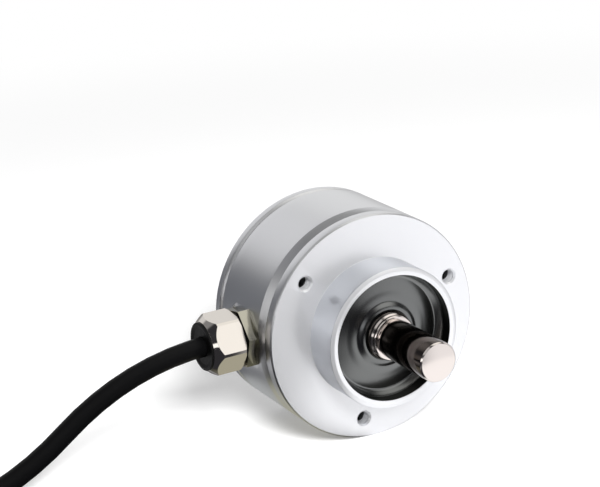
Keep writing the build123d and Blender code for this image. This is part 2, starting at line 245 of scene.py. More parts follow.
# A darker copy of the nickel plate for the gland's hexagon: painted shade
nickel_painted_shade = metal("nickel plate with painted shade", (0.56, 0.54, 0.45), rough=0.1, spread=0.03, scale=700, bump=0.03)
zinc = metal("zinc plated steel", (0.62, 0.62, 0.58), rough=0.3)
tinned = metal("tinned copper", (0.75, 0.73, 0.70), rough=0.25)
insert = metal("seal insert", (0.215, 0.22, 0.218), rough=0.23, spread=0.015, scale=300, bump=0)
rubber = plastic("bush rubber", (0.003,) * 3, rough=0.45, spread=0.08, scale=800, bump=0.3, specular=0.2)
jacket = plastic(
    "cable jacket",
    (0.002, 0.002, 0.0022),
    rough=0.45,
    spread=0.08,
    scale=700,
    bump=0.2,
    specular=0.15,
)
black = plastic("black moulding", (0.02, 0.02, 0.02), rough=0.45)
board_green = plastic("board laminate", (0.02, 0.13, 0.05), rough=0.3, coat=0.3)
chip = plastic("chip moulding", (0.025, 0.025, 0.028), rough=0.5)
tantalum = plastic("tantalum moulding", (0.55, 0.38, 0.06), rough=0.45)
cream = plastic("terminal moulding", (0.7, 0.68, 0.6), rough=0.45)
cage_plastic = plastic("cage polyamide", (0.45, 0.33, 0.17), rough=0.45)
lead_plastic = plastic("lead insulation", (0.4, 0.2, 0.08), rough=0.35)
epoxy = plastic("lamp epoxy", (0.55, 0.05, 0.04), rough=0.15, coat=0.5)
glass = clear("disc glass")
code_glass = coded_glass()

NODE_MATERIALS = {
    "front_flange": aluminium,
    "housing_body": aluminium,
    "rear_cover": aluminium,
    "tie_screws": zinc,
    "board_spacers": nickel,
    "shaft": steel,
    "shaft_seal": insert,
    "bearing_outer_ring": bearing_steel,
    "bearing_inner_ring": bearing_steel,
    "ball_cage": cage_plastic,
    "code_disc": code_glass,
    "light_holder": black,
    "light_lamp": epoxy,
    "light_lens": glass,
    "scanning_mask": glass,
    "photo_sensor": chip,
    "circuit_board": board_green,
    "processor": chip,
    "memory": chip,
    "line_driver": chip,
    "regulator": chip,
    "capacitors": tantalum,
    "wire_terminal": cream,
    "inner_leads": lead_plastic,
    "gland_body": nickel,
    "gland_nut": nickel,
    "gland_bush": rubber,
    "cable_entry": jacket,
    "cable": jacket,
    "cable_coil": jacket,
    "cable_tail": jacket,
    "coil_tie": black,
    "lead_wires": lead_plastic,
}
for node_name, node_material in NODE_MATERIALS.items():
    for material_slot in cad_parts[node_name].material_slots:
        material_slot.material = node_material


# Places of points that are given by radius, angle and height round an axis
def frame_along_y(circle=0.0, degrees=0.0):
    """Round the shaft's axis, or round one beside it, at an angle on a circle."""
    centre_x = circle / 2 * cos(radians(degrees))
    centre_z = circle / 2 * sin(radians(degrees))

    def place(radius, angle, height):
        return Vector((centre_x + radius * cos(angle), -height, centre_z + radius * sin(angle))) * MM

    return place


def frame_along_x(y, z=0.0):
    """Round an axis that runs outwards to the cable's side."""

    def place(radius, angle, height):
        return Vector((-height, y - radius * cos(angle), z + radius * sin(angle))) * MM

    return place


shaft_frame = frame_along_y()
gland_frame = frame_along_x(GLAND_Y)


# Outlines of (radius, height) points for turned pieces
def band(inner, outer, start, end):
    """A plain ring, or a cylinder where the inner radius is 0."""
    return [(inner, start), (outer, start), (outer, end), (inner, end)]


def soften(outline, radius, steps=3):
    """Rounds every corner of a closed outline by the radius, or less where its sides are short."""
    result = []
    count = len(outline)
    for index, corner in enumerate(outline):
        here = Vector(corner)
        back = Vector(outline[index - 1]) - here
        ahead = Vector(outline[(index + 1) % count]) - here
        turn = pi - back.angle(ahead, pi)
        if turn < radians(3) or here.x == 0:
            result.append(tuple(here))
            continue
        reach = min(radius * tan(turn / 2), 0.4 * back.length, 0.4 * ahead.length)
        first = here + back.normalized() * reach
        last = here + ahead.normalized() * reach
        for step in range(steps + 1):
            t = step / steps
            point = (1 - t) ** 2 * first + 2 * t * (1 - t) * here + t * t * last
            result.append(tuple(point))
    return result


def thread(radius, depth, pitch, start, end):
    """The wall of a threaded hole as a zigzag from end to start."""
    points = []
    height = end
    while height < start - pitch:
        points += [(radius, height), (radius + depth, height + pitch / 2)]
        height += pitch
    return points + [(radius, start)]


def hexagon(across_flats, degrees, ridge=0.0):
    """Corners of a hexagon, each cut off at the ridge's distance where that isn't 0."""
    corner_radius = across_flats / sqrt(3)
    corners = []
    for k in range(6):
        angle = radians(degrees + 60 * k)
        corners.append(Vector((corner_radius * cos(angle), corner_radius * sin(angle))))
    if not ridge:
        return [tuple(corner) for corner in corners]
    cut = []
    for k, corner in enumerate(corners):
        before = (corners[k - 1] - corner).normalized() * ridge
        after = (corners[(k + 1) % 6] - corner).normalized() * ridge
        cut += [tuple(corner + before), tuple(corner + after)]
    return cut


# Pieces
def shade(mesh):
    """Smooth shading with sharp edges."""
    for polygon in mesh.polygons:
        polygon.use_smooth = True
    mesh.set_sharp_from_angle(angle=radians(28))


def mesh_object(name, bm, material=None):
    bmesh.ops.recalc_face_normals(bm, faces=bm.faces)
    mesh = bpy.data.meshes.new(name)
    bm.to_mesh(mesh)
    bm.free()
    shade(mesh)
    if material:
        mesh.materials.append(material)
    obj = bpy.data.objects.new(name, mesh)
    bpy.context.scene.collection.objects.link(obj)
    return obj


def turned(name, outline, material=None, place=shaft_frame, steps=STEPS):
    """A closed outline turned about the axis."""
    bm = bmesh.new()
    rings = []
    for radius, height in outline:
        count = steps if radius > 1e-6 else 1
        rings.append([bm.verts.new(place(radius, 2 * pi * k / steps, height)) for k in range(count)])
    for index, ring in enumerate(rings):
        after = rings[(index + 1) % len(rings)]
        if len(ring) == 1 and len(after) == 1:
            continue
        for k in range(steps):
            n = (k + 1) % steps
            near = [ring[k % len(ring)], ring[n % len(ring)]]
            far = [after[n % len(after)], after[k % len(after)]]
            bm.faces.new(list(dict.fromkeys(near + far)))
    return mesh_object(name, bm, material)


def prism(name, points, start, end, material=None, place=gland_frame):
    """A closed outline of (across, up) points, pulled along the axis."""
    bm = bmesh.new()
    polar = [(hypot(a, b), atan2(b, a)) for a, b in points]
    low = [bm.verts.new(place(r, t, start)) for r, t in polar]
    high = [bm.verts.new(place(r, t, end)) for r, t in polar]
    bm.faces.new(low)
    bm.faces.new(high)
    for k in range(len(points)):
        n = (k + 1) % len(points)
        bm.faces.new([low[k], low[n], high[n], high[k]])
    return mesh_object(name, bm, material)


def carve(obj, *cutters, operation="DIFFERENCE"):
    """Cuts the cutters out of the object for good and removes them."""
    for cutter in cutters:
        modifier = obj.modifiers.new("cut", "BOOLEAN")
        modifier.object = cutter
        modifier.operation = operation
        modifier.solver = "EXACT"
    bpy.context.view_layer.update()
    evaluated = obj.evaluated_get(bpy.context.evaluated_depsgraph_get())
    mesh = bpy.data.meshes.new_from_object(evaluated)
    obj.modifiers.clear()
    obj.data = mesh
    shade(mesh)
    for cutter in cutters:
        bpy.data.objects.remove(cutter)


def bevel_edges(obj, width, segments=2):
    bevel = obj.modifiers.new("edges", "BEVEL")
    bevel.width = width * MM
    bevel.segments = segments
    bevel.limit_method = "ANGLE"
    bevel.angle_limit = radians(20)


def paint(obj, material, radii=(0, FLANGE_R), heights=(-BODY_DEPTH, SHAFT_TIP)):
    """Gives a material to the faces whose centres lie between two radii and two heights."""
    obj.data.materials.append(material)
    for polygon in obj.data.polygons:
        across, behind, up = polygon.center / MM
        radius_fits = radii[0] < hypot(across, up) < radii[1]
        if radius_fits and heights[0] < -behind < heights[1]:
            polygon.material_index = len(obj.data.materials) - 1


def dress(obj, body, material_slot, *nodes):
    """Rides a piece on a body and hides the nodes that it stands for. The finish's name is not used."""
    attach(obj, body)
    if nodes:
        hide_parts(*nodes)


def hole_cutter(circle, degrees, outline):
    """A turned cutter whose axis is at an angle on a circle round the shaft's axis."""
    return turned("cutter", outline, place=frame_along_y(circle, degrees), steps=HOLE_STEPS)


# Front flange with its threaded holes and the tie screws' holes
LIP_R = 8.8
HUB_R = 13.0
COLLAR_FRONT = COLLAR_LENGTH - 0.01
COLLAR_BEVEL_WIDTH = 1.0
COLLAR_BEVEL_LENGTH = 0.35
RIM_BEVEL_WIDTH = 0.4
RIM_BEVEL_LENGTH = 0.35
M4_CIRCLE = 48.0
M4_ANGLES = (20, 140, 260)
M4_CORE_R = 1.65
M4_THREAD_DEPTH = 0.3
M4_PITCH = 0.7
M4_THREAD_START = -0.45
M4_FLOOR = -6.4
M4_SINK_R = 2.2
TIE_BORE_R = 1.27

flange_outline = [
    (COLLAR_R, 0),
    (COLLAR_R, COLLAR_LENGTH - COLLAR_BEVEL_LENGTH),
    (COLLAR_R - COLLAR_BEVEL_WIDTH, COLLAR_FRONT),
    (POCKET_R, COLLAR_FRONT),
    (POCKET_R, POCKET_FLOOR),
    (LIP_R, POCKET_FLOOR),
    (LIP_R, BEARING_FRONT),
    (BEARING_R, BEARING_FRONT),
    (BEARING_R, BEARING_REAR),
    (HUB_R, BEARING_REAR),
    (HUB_R, SPIGOT_REAR),
    (SPIGOT_R, SPIGOT_REAR),
    (SPIGOT_R, -RIM),
    (SKIN_R, -RIM),
    (SKIN_R, -RIM_BEVEL_LENGTH),
    (FLANGE_R - RIM_BEVEL_WIDTH, 0),
]
flange = turned("flange", soften(flange_outline, 0.12), satin)
m4_wall = [(0, M4_FLOOR)]
m4_wall += thread(M4_CORE_R, M4_THREAD_DEPTH, M4_PITCH, M4_THREAD_START, M4_FLOOR)
m4_wall += [(M4_SINK_R, M4_THREAD_START + M4_SINK_R - M4_CORE_R), (M4_SINK_R, OVER), (0, OVER)]
m4_holes = [hole_cutter(M4_CIRCLE, angle, m4_wall) for angle in M4_ANGLES]
tie_wall = band(0, TIE_BORE_R, -RIM, SPIGOT_REAR - OVER)
tie_holes = [hole_cutter(TIE_CIRCLE, angle, tie_wall) for angle in TIE_ANGLES]
carve(flange, *m4_holes, *tie_holes)
# Painted shade in the holes' deeper threads, the turned aluminium on the rim's edge, a darker copy of the
# aluminium on the collar's outside as painted shade, and painted shade on the faces inside the collar
paint(flange, painted_hole_shade, radii=(22, 26.2), heights=(-7.5, -RIM))
paint(flange, aluminium, radii=(FLANGE_R - 0.25, FLANGE_R))
paint(flange, collar_painted_shade, radii=(COLLAR_R - 0.1, COLLAR_R + 0.1), heights=(0.2, COLLAR_LENGTH))
paint(flange, painted_pocket_shade, radii=(0, POCKET_R + 0.05), heights=(-BODY_DEPTH, COLLAR_LENGTH - 0.3))
dress(flange, "housing", "turned_aluminium", "front_flange")

# Housing: a sleeve that tapers to a seam at both rims, with the gland's spot face and hole
FRONT_SEAM_R = 28.2
REAR_SEAM_R = 28.4
TAPER_FRONT = -6.6
TAPER_REAR = -25.8
SPOT_R = 8.6
GLAND_HOLE_START = 20.0

housing_outline = [(HOUSING_BORE, -RIM - SKIN), (FRONT_SEAM_R, -RIM - SKIN), (SKIN_R, TAPER_FRONT)]
# Rings along the straight band keep the faces round the spot face short
housing_outline += [(SKIN_R, -depth) for depth in range(9, 24, 2)]
housing_outline += [(SKIN_R, TAPER_REAR), (REAR_SEAM_R, COVER_FRONT + SKIN)]
housing_outline += [(HOUSING_BORE, COVER_FRONT + SKIN)]
housing = turned("housing", soften(housing_outline, 0.1), aluminium)
spot_wall = band(0, SPOT_R, SPOT_FACE, FLANGE_R + OVER)
spot = turned("spot", spot_wall, place=gland_frame, steps=GLAND_STEPS)
gland_wall = band(0, GLAND_THREAD_R + GLAND_CLEARANCE, GLAND_HOLE_START, SPOT_FACE + OVER)
gland_hole = turned("hole", gland_wall, place=gland_frame, steps=GLAND_STEPS)
carve(housing, spot, gland_hole)
dress(housing, "housing", "turned_aluminium", "housing_body")

# Shaft with its chamfered tip, relief groove and the rings turned into its shoulder
TIP = SHAFT_TIP - SKIN
TIP_R = SHAFT_R - SKIN
TIP_CHAMFER = 0.38
GROOVE_R = 4.8
GROOVE_FRONT = 10.7
GROOVE_SLOPE = 0.2
SHOULDER_RINGS = [(5.5, 10.0), (5.75, 9.75), (5.75, 9.4), (5.6, 9.25), (5.6, 9.0)]
JOURNAL_R = 6.0
JOURNAL_FRONT = 8.6
DISC_SHOULDER_R = 7.4
DISC_SEAT = -16.8
STUB_R = 4.0
STUB_REAR = -18.0

shaft_outline = [
    (0, TIP),
    (TIP_R - TIP_CHAMFER, TIP),
    (TIP_R, TIP - TIP_CHAMFER),
    (TIP_R, GROOVE_FRONT + GROOVE_SLOPE),
    (GROOVE_R, GROOVE_FRONT),
    (GROOVE_R, COLLAR_LENGTH + SKIN),
    *SHOULDER_RINGS,
    (JOURNAL_R, JOURNAL_FRONT),
    (JOURNAL_R, BEARING_REAR),
    (DISC_SHOULDER_R, BEARING_REAR),
    (DISC_SHOULDER_R, DISC_SEAT),
    (STUB_R, DISC_SEAT),
    (STUB_R, STUB_REAR),
    (0, STUB_REAR),
]
shaft = turned("shaft_piece", soften(shaft_outline, 0.08), steel)
# The shaft's side ahead of the collar gets the dark steel, a painted dark reflection
paint(shaft, painted_dark_steel, heights=(GROOVE_FRONT + 0.15, SHAFT_TIP - 0.35))
dress(shaft, "rotor", "ground_steel", "shaft")

# Seal insert: its front slopes up to its edge, with a shallow cone, a soft ridge and the boss
SEAL_DISH_R = 14.4
SEAL_DISH_HEIGHT = 5.2
SEAL_EDGE_RISE = 1.5
SEAL_EDGE_HEIGHT = 6.9
SEAL_CONE_SLOPE = 0.165
SEAL_RIDGE_R = 9.6
SEAL_RIDGE_REACH = 1.6
SEAL_RIDGE_RISE = 0.05
SEAL_BOSS_R = 8.6
SEAL_BOSS_REACH = 1.6
SEAL_BOSS_RISE = 0.4
SEAL_LIP_HEIGHT = 7.5
SEAL_LIP_R = 6.3
SEAL_BORE_R = 6.12


def seal_height(radius):
    """The height of the insert's front at a radius."""
    if radius > SEAL_DISH_R:
        share = (radius - SEAL_DISH_R) / (POCKET_R - SEAL_DISH_R)
        return SEAL_DISH_HEIGHT + SEAL_EDGE_RISE * share**1.5
    cone = SEAL_DISH_HEIGHT + SEAL_CONE_SLOPE * (SEAL_DISH_R - radius)
    away = min(1.0, abs(radius - SEAL_RIDGE_R) / SEAL_RIDGE_REACH)
    ridge = SEAL_RIDGE_RISE * cos(away * pi / 2) ** 2
    share = max(0.0, min(1.0, (SEAL_BOSS_R - radius) / SEAL_BOSS_REACH))
    return cone + ridge + SEAL_BOSS_RISE * (3 * share**2 - 2 * share**3)


seal_outline = [(POCKET_R, POCKET_FLOOR), (POCKET_R, SEAL_EDGE_HEIGHT)]
seal_outline += [(tenths / 10, seal_height(tenths / 10)) for tenths in range(159, 64, -2)]
seal_outline += [(SEAL_LIP_R, SEAL_LIP_HEIGHT), (SEAL_BORE_R, SEAL_LIP_HEIGHT - 0.2)]
seal_outline += [(SEAL_BORE_R, POCKET_FLOOR)]
seal = turned("seal", seal_outline, insert)
dress(seal, "housing", "seal_plastic", "shaft_seal")

# Cap nut: ridged hexagon with a bevelled inner edge, cut to a cone at its mouth
NUT_ANGLE = -5.2
NUT_RIDGE = 0.45
NUT_BACK = 31.75
NUT_BEVEL_START_R = 7.3
NUT_BEVEL_END_R = 8.1
NUT_BEVEL_LENGTH = 0.5
NUT_CONE_START = 37.9
NUT_CONE_R = 8.0
NUT_MOUTH_R = 6.2
NUT_INSIDE_R = NUT_THREAD_R + GLAND_CLEARANCE
NUT_INSIDE_END = NUT_THREAD_END + GLAND_CLEARANCE
HEX_CLEAR_R = 20.0
HEX_BEVEL = 0.12

nut = prism("nut", hexagon(GLAND_HEX, NUT_ANGLE, NUT_RIDGE), NUT_BACK - 0.05, NUT_OUTER, nickel)
nut_outline = [
    (NUT_INSIDE_R, NUT_BACK),
    (NUT_BEVEL_START_R, NUT_BACK),
    (NUT_BEVEL_END_R, NUT_BACK + NUT_BEVEL_LENGTH),
    (HEX_CLEAR_R, NUT_BACK + NUT_BEVEL_LENGTH),
    (HEX_CLEAR_R, NUT_CONE_START),
    (NUT_CONE_R, NUT_CONE_START),
    (NUT_MOUTH_R, NUT_OUTER),
    (NUT_BORE_R, NUT_OUTER),
    (NUT_BORE_R, NUT_INSIDE_END),
    (NUT_INSIDE_R, NUT_INSIDE_END),
]
nut_form = turned("form", nut_outline, place=gland_frame, steps=NUT_STEPS)
carve(nut, nut_form, operation="INTERSECT")
bevel_edges(nut, HEX_BEVEL)
dress(nut, "housing", "nickel_plate", "gland_nut")

# Gland body: hexagon, the stem with its thread in the housing and the neck with the nut's
GLAND_BODY_ANGLE = 12
GLAND_INNER = 24.4
GLAND_FORM_R = 9.0

stem_r = GLAND_THREAD_R - GLAND_CLEARANCE
neck_r = NUT_THREAD_R - GLAND_CLEARANCE
gland_outline = [
    (PASSAGE_R, GLAND_INNER),
    (stem_r, GLAND_INNER),
    (stem_r, SPOT_FACE),
    (GLAND_FORM_R, SPOT_FACE),
    (GLAND_FORM_R, NUT_INNER),
    (neck_r, NUT_INNER),
    (neck_r, NUT_THREAD_END),
    (PASSAGE_R, NUT_THREAD_END),
]
# The hexagon gets the darker nickel plate, as painted shade
gland_hex = prism("gland_hex", hexagon(GLAND_HEX, GLAND_BODY_ANGLE), SPOT_FACE, NUT_INNER, nickel_painted_shade)
gland_form = turned("form", gland_outline, place=gland_frame, steps=GLAND_STEPS)
carve(gland_hex, gland_form, operation="INTERSECT")
bevel_edges(gland_hex, HEX_BEVEL)
dress(gland_hex, "housing", "nickel_plate", "gland_body")
gland_threads = {
    "gland_stem": band(PASSAGE_R, stem_r, GLAND_INNER, SPOT_FACE + SKIN),
    "gland_neck": band(PASSAGE_R, neck_r, NUT_INNER, NUT_THREAD_END),
}
for thread_name, thread_outline in gland_threads.items():
    threaded = turned(thread_name, thread_outline, nickel, gland_frame, GLAND_STEPS)
    dress(threaded, "housing", "nickel_plate")

# Rubber washer between the hexagon and the nut
WASHER_R = 6.6
washer_outline = band(NUT_THREAD_R, WASHER_R, NUT_INNER + SKIN, NUT_BACK - SKIN)
washer = turned("gland_ring", soften(washer_outline, 0.2), rubber, gland_frame, GLAND_STEPS)
dress(washer, "housing", "bush_rubber")

# Bush with its rounded lip over the nut's mouth
BUSH_LIP_R = 6.1
BUSH_LIP_FRONT = 40.6
BUSH_FLARE_R = 5.4
BUSH_MOUTH_R = 4.6
BUSH_MOUTH_FRONT = 40.3

bush_outline = [
    (CABLE_R, NUT_THREAD_END),
    (NUT_BORE_R, NUT_THREAD_END),
    (NUT_BORE_R, NUT_OUTER),
    (BUSH_LIP_R, NUT_OUTER),
    (BUSH_LIP_R, BUSH_LIP_FRONT),
    (BUSH_FLARE_R, BUSH_LIP_FRONT),
    (BUSH_MOUTH_R, BUSH_MOUTH_FRONT),
    (CABLE_R, BUSH_MOUTH_FRONT),
]
bush = turned("bush", soften(bush_outline, 0.3, 4), rubber, gland_frame, GLAND_STEPS)
dress(bush, "housing", "bush_rubber", "gland_bush")

# Cable: the free run, the coil's turns and the straight end, as one line. The coil has three
# turns on the floor and two on top of them, and RISE is how far the upper ones lie above.
CABLE_EXIT = 38.0
DIP_START = 60.5
DIP_END = 95.7
PITCH = 2 * CABLE_R
BED = FLOOR + CABLE_R
RISE = 4.33
COIL_X = -143.5
COIL_Y = -15.5
COIL_R = 25.0
COIL_LEAD_IN = 4
TURN_STEPS = 24
SHIFT_STEPS = 5
TAIL_Y = COIL_Y + COIL_R + 1.5 * PITCH
TAIL_REACH = 22


def climbing(share, rank):
    """Radius and height of a turn while it changes rows.

    The turn of rank 0 rolls over the second turn, which moves inwards below it. The next two
    turns lie against it, each outside the one before.
    """
    over = radians(180 - 120 * share)
    radius = COIL_R - share * PITCH + PITCH * cos(over)
    height = PITCH * sin(over)
    if rank:
        beside = radians(60 - 60 * share)
        radius += PITCH * (cos(beside) + rank - 1)
        height += PITCH * sin(beside)
    return radius, height


def coil_points():
    """Turns seen from above run anticlockwise and change rows in the last part of each turn."""
    rows = [(COIL_R + PITCH, 0), (COIL_R, 0), (COIL_R - PITCH, 0)]
    rows += [(COIL_R - PITCH / 2, RISE), (COIL_R + PITCH / 2, RISE)]
    points = []
    for turn, row in enumerate(rows):
        for step in range(TURN_STEPS):
            share = max(0, step - (TURN_STEPS - SHIFT_STEPS)) / SHIFT_STEPS
            radius, height = row
            if share and turn < 2:
                radius -= share * PITCH
            elif share:
                radius, height = climbing(share, turn - 2)
            angle = pi / 2 + 2 * pi * step / TURN_STEPS
            points.append((COIL_X + radius * cos(angle), COIL_Y + radius * sin(angle), BED + height))
    return points


def cable_curve(name, points):
    curve = bpy.data.curves.new(name, "CURVE")
    curve.dimensions = "3D"
    curve.bevel_depth = CABLE_R * MM
    curve.bevel_resolution = 8
    curve.resolution_u = 8
    curve.use_fill_caps = True
    spline = curve.splines.new("NURBS")
    spline.points.add(len(points) - 1)
    for target, point in zip(spline.points, points):
        target.co = (*(MM * value for value in point), 1)
    spline.order_u = 3
    spline.use_endpoint_u = True
    curve.materials.append(jacket)
    obj = bpy.data.objects.new(name, curve)
    bpy.context.scene.collection.objects.link(obj)
    return obj


# The curve's control points, from inside the bush down to the floor, round the coil and out
cable_points = [
    (-CABLE_EXIT, GLAND_Y, 0.0),
    (-DIP_START, GLAND_Y, 0.0),
    (-DIP_END, GLAND_Y, BED),
    (COIL_X + COIL_LEAD_IN, GLAND_Y, BED),
    *coil_points(),
]
cable_points += [(COIL_X - x, TAIL_Y, BED + RISE) for x in (0.5, TAIL_REACH / 2, TAIL_REACH)]
cable = cable_curve("cable_line", cable_points)
dress(cable, "housing", "cable_jacket", "cable", "cable_coil", "cable_tail")

# Rear cover: a turned disc with bevelled edges, sunk holes and the bosses that press on the board
COVER_REAR = SKIN - BODY_DEPTH
COVER_BEVEL = 0.48
SUNK_R = 2.45
SUNK_BEVEL = 0.3
SUNK_BEVEL_REAR = 0.05 - BODY_DEPTH
BOSS_HEX = 4.5
BOSS_BORE_R = 1.35
BOARD_REAR = -21.9

seam_bevel = SKIN_R - REAR_SEAM_R
cover_outline = [
    (0, COVER_FRONT),
    (REAR_SEAM_R, COVER_FRONT - SKIN),
    (SKIN_R, COVER_FRONT - SKIN - seam_bevel),
    (SKIN_R, COVER_REAR + COVER_BEVEL),
    (SKIN_R - COVER_BEVEL, COVER_REAR),
    (0, COVER_REAR),
]
cover = turned("cover", soften(cover_outline, 0.1), aluminium)
sunk_wall = [
    (0, -BODY_DEPTH - OVER),
    (SUNK_R + SUNK_BEVEL, -BODY_DEPTH - OVER),
    (SUNK_R + SUNK_BEVEL, SUNK_BEVEL_REAR),
    (SUNK_R, SUNK_BEVEL_REAR + SUNK_BEVEL),
    (SUNK_R, TIE_HEAD_FRONT),
    (0, TIE_HEAD_FRONT),
]
carve(cover, *[hole_cutter(TIE_CIRCLE, angle, sunk_wall) for angle in TIE_ANGLES])
dress(cover, "housing", "turned_aluminium", "rear_cover")
boss_wall = band(0, BOSS_BORE_R, TIE_HEAD_FRONT - OVER, BOARD_REAR + OVER)
for k, tie_angle in enumerate(TIE_ANGLES):
    place = frame_along_y(TIE_CIRCLE, tie_angle)
    boss = prism(f"boss_{k}", hexagon(BOSS_HEX, 0), TIE_HEAD_FRONT, BOARD_REAR, aluminium, place)
    carve(boss, hole_cutter(TIE_CIRCLE, tie_angle, boss_wall))
    dress(boss, "housing", "turned_aluminium")

# Tie screws: rounded heads with a hexagon socket, and a thread at the tip
SCREW_R = 1.25
SCREW_TIP_R = 1.1
SCREW_TIP = -4.05
SCREW_THREAD_START = -4.4
SCREW_THREAD_END = -8.5
SCREW_THREAD_DEPTH = 0.12
SCREW_PITCH = 0.45
SCREW_THREAD_STEPS = 17
SCREW_HEAD_R = 2.22
SCREW_HEAD_REAR = -29.68
SCREW_HEAD_ROUND = [(0.0, 0.33), (0.07, 0.13), (0.27, 0.0)]
SOCKET_HEX = 2.0
SOCKET_FLOOR = -28.5

screw_outline = [(0, SCREW_TIP), (SCREW_TIP_R, SCREW_TIP), (SCREW_R, SCREW_THREAD_START)]
for step in range(1, SCREW_THREAD_STEPS + 1):
    step_r = SCREW_R - SCREW_THREAD_DEPTH * (step % 2)
    screw_outline.append((step_r, SCREW_THREAD_START - step * SCREW_PITCH / 2))
screw_outline += [
    (SCREW_R, SCREW_THREAD_END),
    (SCREW_R, TIE_HEAD_FRONT - SKIN),
    (SCREW_HEAD_R, TIE_HEAD_FRONT - SKIN),
    *[(SCREW_HEAD_R - inwards, SCREW_HEAD_REAR + ahead) for inwards, ahead in SCREW_HEAD_ROUND],
    (0, SCREW_HEAD_REAR),
]
for k, tie_angle in enumerate(TIE_ANGLES):
    place = frame_along_y(TIE_CIRCLE, tie_angle)
    screw = turned(f"tie_screw_{k}", screw_outline, zinc, place, SCREW_STEPS)
    socket = prism("socket", hexagon(SOCKET_HEX, 30), -BODY_DEPTH - OVER, SOCKET_FLOOR, zinc, place)
    carve(screw, socket)
    dress(screw, "housing", "zinc_steel")
    if k == 0:
        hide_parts("tie_screws")

# Leads: coloured insulation with a tinned end each
LEAD_COLOURS = [(0.75, 0.75, 0.72), (0.16, 0.06, 0.02), (0.03, 0.22, 0.06), (0.75, 0.52, 0.03)]
LEAD_SPREAD = 1.1
LEAD_R = 0.64
LEAD_CORE_R = 0.36
LEAD_START = TAIL_REACH - COIL_X - 0.5
LEAD_END = LEAD_START + 9
LEAD_CORE_END = LEAD_START + 12

for k, colour in enumerate(LEAD_COLOURS):
    angle = 2 * pi * k / len(LEAD_COLOURS)
    place = frame_along_x(TAIL_Y - LEAD_SPREAD * cos(angle), BED + RISE + LEAD_SPREAD * sin(angle))
    sleeve_outline = soften(band(0, LEAD_R, LEAD_START, LEAD_END), 0.1)
    sleeve_colour = plastic(f"lead colour {k}", colour, rough=0.35)
    sleeve = turned(f"lead_{k}", sleeve_outline, sleeve_colour, place, steps=32)
    core_outline = soften(band(0, LEAD_CORE_R, LEAD_END - 0.1, LEAD_CORE_END), 0.08)
    core = turned(f"lead_core_{k}", core_outline, tinned, place, steps=24)
    for piece in (sleeve, core):
        dress(piece, "housing", "lead_insulation")
    if k == 0:
        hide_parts("lead_wires")

# Tie: a strap drawn tight round the coil's section, with its head
TIE_WIDTH = 4.0
TIE_THICKNESS = 0.8
TIE_STEPS = 96
TIE_HEAD_SIZE = (5.4, 4.6, 2.6)
TIE_HEAD_PLACE = (COIL_X, COIL_Y - COIL_R, BED + RISE + CABLE_R + 1.5)
COIL_CORNERS = [
    (COIL_R - PITCH, BED),
    (COIL_R + PITCH, BED),
    (COIL_R - PITCH / 2, BED + RISE),
    (COIL_R + PITCH / 2, BED + RISE),
]


def strap_point(angle, out):
    """The point of the tight loop in a direction, as (distance from the coil's centre, height)."""
    ahead = Vector((cos(angle), sin(angle)))
    centre = max((Vector(corner) for corner in COIL_CORNERS), key=lambda corner: corner.dot(ahead))
    point = centre + ahead * (CABLE_R + out)
    return point.x, max(point.y, FLOOR + (TIE_THICKNESS - out) / 2)


bm = bmesh.new()
strap = []
for step in range(TIE_STEPS):
    ring = []
    for out, side in ((0, -1), (0, 1), (TIE_THICKNESS, 1), (TIE_THICKNESS, -1)):
        reach, height = strap_point(2 * pi * step / TIE_STEPS, out)
        x = COIL_X + side * TIE_WIDTH / 2
        ring.append(bm.verts.new(Vector((x, COIL_Y - reach, height)) * MM))
    strap.append(ring)
for step, ring in enumerate(strap):
    after = strap[(step + 1) % TIE_STEPS]
    for k in range(4):
        n = (k + 1) % 4
        bm.faces.new([ring[k], ring[n], after[n], after[k]])
tie = mesh_object("tie", bm, black)
bm = bmesh.new()
bmesh.ops.create_cube(bm, size=MM)
bmesh.ops.scale(bm, vec=TIE_HEAD_SIZE, verts=bm.verts)
bmesh.ops.translate(bm, vec=Vector(TIE_HEAD_PLACE) * MM, verts=bm.verts)
head = mesh_object("tie_head", bm, black)
bevel_edges(head, 0.5, segments=3)
dress(tie, "housing", "tie_plastic", "coil_tie")
dress(head, "housing", "tie_plastic")

# Camera, in metres, from the fit of the photograph
CAMERA_PLACE = (-0.2159, -0.3727, 0.1653)
CAMERA_RIGHT = (0.8731, -0.4838, -0.0611)
CAMERA_BACK = (-0.4433, -0.8396, 0.3140)

cam_data = bpy.data.cameras.new("camera")
cam_data.lens = 111.38
cam_data.sensor_width = 36
cam_data.clip_start = 0.01
cam_data.clip_end = 20
cam = bpy.data.objects.new("camera", cam_data)
bpy.context.scene.collection.objects.link(cam)
back = Vector(CAMERA_BACK).normalized()
up = back.cross(Vector(CAMERA_RIGHT).normalized()).normalized()
right = up.cross(back).normalized()
axes = Matrix((right, up, back)).transposed()
cam.matrix_world = Matrix.Translation(CAMERA_PLACE) @ axes.to_4x4()
bpy.context.scene.camera = cam

